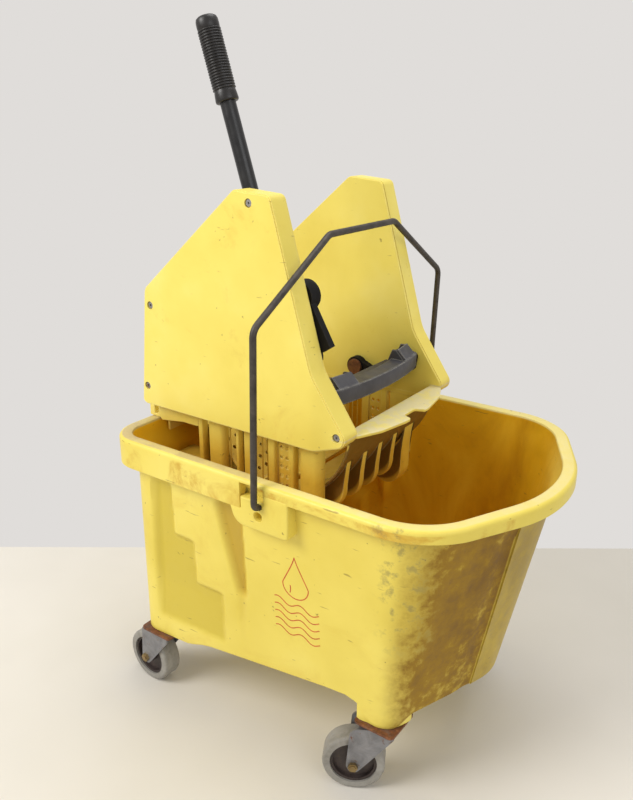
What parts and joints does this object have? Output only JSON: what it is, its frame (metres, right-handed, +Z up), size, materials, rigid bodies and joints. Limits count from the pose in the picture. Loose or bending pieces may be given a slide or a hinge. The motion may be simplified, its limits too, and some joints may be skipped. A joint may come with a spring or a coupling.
{
  "type": "mop bucket with wringer",
  "caption": "Wheeled mop bucket with a geared down-press wringer over its rear, worked by a side lever, and a swinging wire bail.",
  "frame": {"origin": "on the floor, under the middle of the whole length and width", "axes": "+X towards the rounded pouring end, +Y away from the press lever's side, +Z up"},
  "size_m": [0.5807, 0.4338, 0.9201],
  "materials": {
    "yellow_body": "semi-gloss moulded polypropylene, scuffed",
    "yellow_wringer": "semi-gloss moulded plastic, worn and stained",
    "sieve": "stained moulded plastic",
    "bail_wire": "dark weathered steel wire",
    "screw_zinc": "dull zinc plate with rust",
    "bush": "natural acetal",
    "spring_steel": "oiled spring steel",
    "black_casting": "black enamel over a casting, worn edges",
    "shaft_steel": "turned steel",
    "lever_black": "gloss black enamel",
    "grip_black": "ribbed black vinyl",
    "press_grey": "dark grey moulded plastic with light worn edges",
    "pin_brown": "rust-brown steel",
    "plate_rust": "rusted zinc plate",
    "fork_zinc": "dull zinc plate, grimy",
    "hub_dark": "dark moulded hub",
    "tyre_grey": "non-marking grey rubber"
  },
  "bodies": {
    "bucket": {"bucket": "yellow_body", "wringer_frame": "yellow_wringer", "sieve_plate": "sieve", "near_cover": "yellow_wringer", "far_cover": "yellow_wringer", "cover_screws": "screw_zinc", "lever_bush": "bush", "press_bushes": "bush", "lever_spring": "spring_steel", "press_spring": "spring_steel", "caster_screws": "screw_zinc", "front_near_plate": "plate_rust", "front_far_plate": "plate_rust", "rear_near_plate": "plate_rust", "rear_far_plate": "plate_rust", "front_near_kingpin": "screw_zinc", "front_far_kingpin": "screw_zinc", "rear_near_kingpin": "screw_zinc", "rear_far_kingpin": "screw_zinc"},
    "lever": {"lever_gear": "black_casting", "lever_shaft": "shaft_steel", "lever_clip": "spring_steel", "lever_tube": "lever_black", "tube_bolts": "screw_zinc", "hand_grip": "grip_black"},
    "press": {"press_plate": "press_grey", "press_gear": "black_casting", "press_arm": "black_casting", "press_pins": "pin_brown", "press_clips": "spring_steel", "press_screws": "screw_zinc"},
    "bail": {"bail": "bail_wire"},
    "front_near_swivel": {"front_near_fork": "fork_zinc", "front_near_axle": "screw_zinc"},
    "front_near_wheel": {"front_near_hub": "hub_dark", "front_near_tyre": "tyre_grey"},
    "front_far_swivel": {"front_far_fork": "fork_zinc", "front_far_axle": "screw_zinc"},
    "front_far_wheel": {"front_far_hub": "hub_dark", "front_far_tyre": "tyre_grey"},
    "rear_near_swivel": {"rear_near_fork": "fork_zinc", "rear_near_axle": "screw_zinc"},
    "rear_near_wheel": {"rear_near_hub": "hub_dark", "rear_near_tyre": "tyre_grey"},
    "rear_far_swivel": {"rear_far_fork": "fork_zinc", "rear_far_axle": "screw_zinc"},
    "rear_far_wheel": {"rear_far_hub": "hub_dark", "rear_far_tyre": "tyre_grey"}
  },
  "joints": [
    {"name": "lever_swing", "type": "hinge", "parent": "bucket", "child": "lever", "pos_m": [-0.01829, 0, 0.60881], "axis": [0, 1, 0], "range_deg": [-60, 0], "stiffness_Nm_per_rad": 5, "springref_deg": 28.65},
    {"name": "press_swing", "type": "hinge", "parent": "bucket", "child": "press", "pos_m": [-0.0645, 0, 0.464], "axis": [0, 1, 0], "range_deg": [0, 60]},
    {"name": "bail_swing", "type": "hinge", "parent": "bucket", "child": "bail", "pos_m": [-0.0045, 0, 0.379], "axis": [0, 1, 0], "range_deg": [-2, 95]},
    {"name": "front_near_swivel_spin", "type": "hinge", "parent": "bucket", "child": "front_near_swivel", "pos_m": [0.1405, -0.144, 0.1], "axis": [0, 0, 1], "continuous": true},
    {"name": "front_near_wheel_spin", "type": "hinge", "parent": "front_near_swivel", "child": "front_near_wheel", "pos_m": [0.10871, -0.1609, 0.04], "axis": [0.4695, -0.8829, 0], "continuous": true},
    {"name": "front_far_swivel_spin", "type": "hinge", "parent": "bucket", "child": "front_far_swivel", "pos_m": [0.1405, 0.144, 0.1], "axis": [0, 0, 1], "continuous": true},
    {"name": "front_far_wheel_spin", "type": "hinge", "parent": "front_far_swivel", "child": "front_far_wheel", "pos_m": [0.1059, 0.13408, 0.04], "axis": [0.2756, -0.9613, 0], "continuous": true},
    {"name": "rear_near_swivel_spin", "type": "hinge", "parent": "bucket", "child": "rear_near_swivel", "pos_m": [-0.2145, -0.164, 0.1], "axis": [0, 0, 1], "continuous": true},
    {"name": "rear_near_wheel_spin", "type": "hinge", "parent": "rear_near_swivel", "child": "rear_near_wheel", "pos_m": [-0.25041, -0.16149, 0.04], "axis": [-0.0698, -0.9976, 0], "continuous": true},
    {"name": "rear_far_swivel_spin", "type": "hinge", "parent": "bucket", "child": "rear_far_swivel", "pos_m": [-0.2145, 0.164, 0.1], "axis": [0, 0, 1], "continuous": true},
    {"name": "rear_far_wheel_spin", "type": "hinge", "parent": "rear_far_swivel", "child": "rear_far_wheel", "pos_m": [-0.24833, 0.17631, 0.04], "axis": [-0.342, -0.9397, 0], "continuous": true}
  ],
  "couplings": [
    {"joint": "press_swing", "follows": "lever_swing", "ratio": -1}
  ]
}
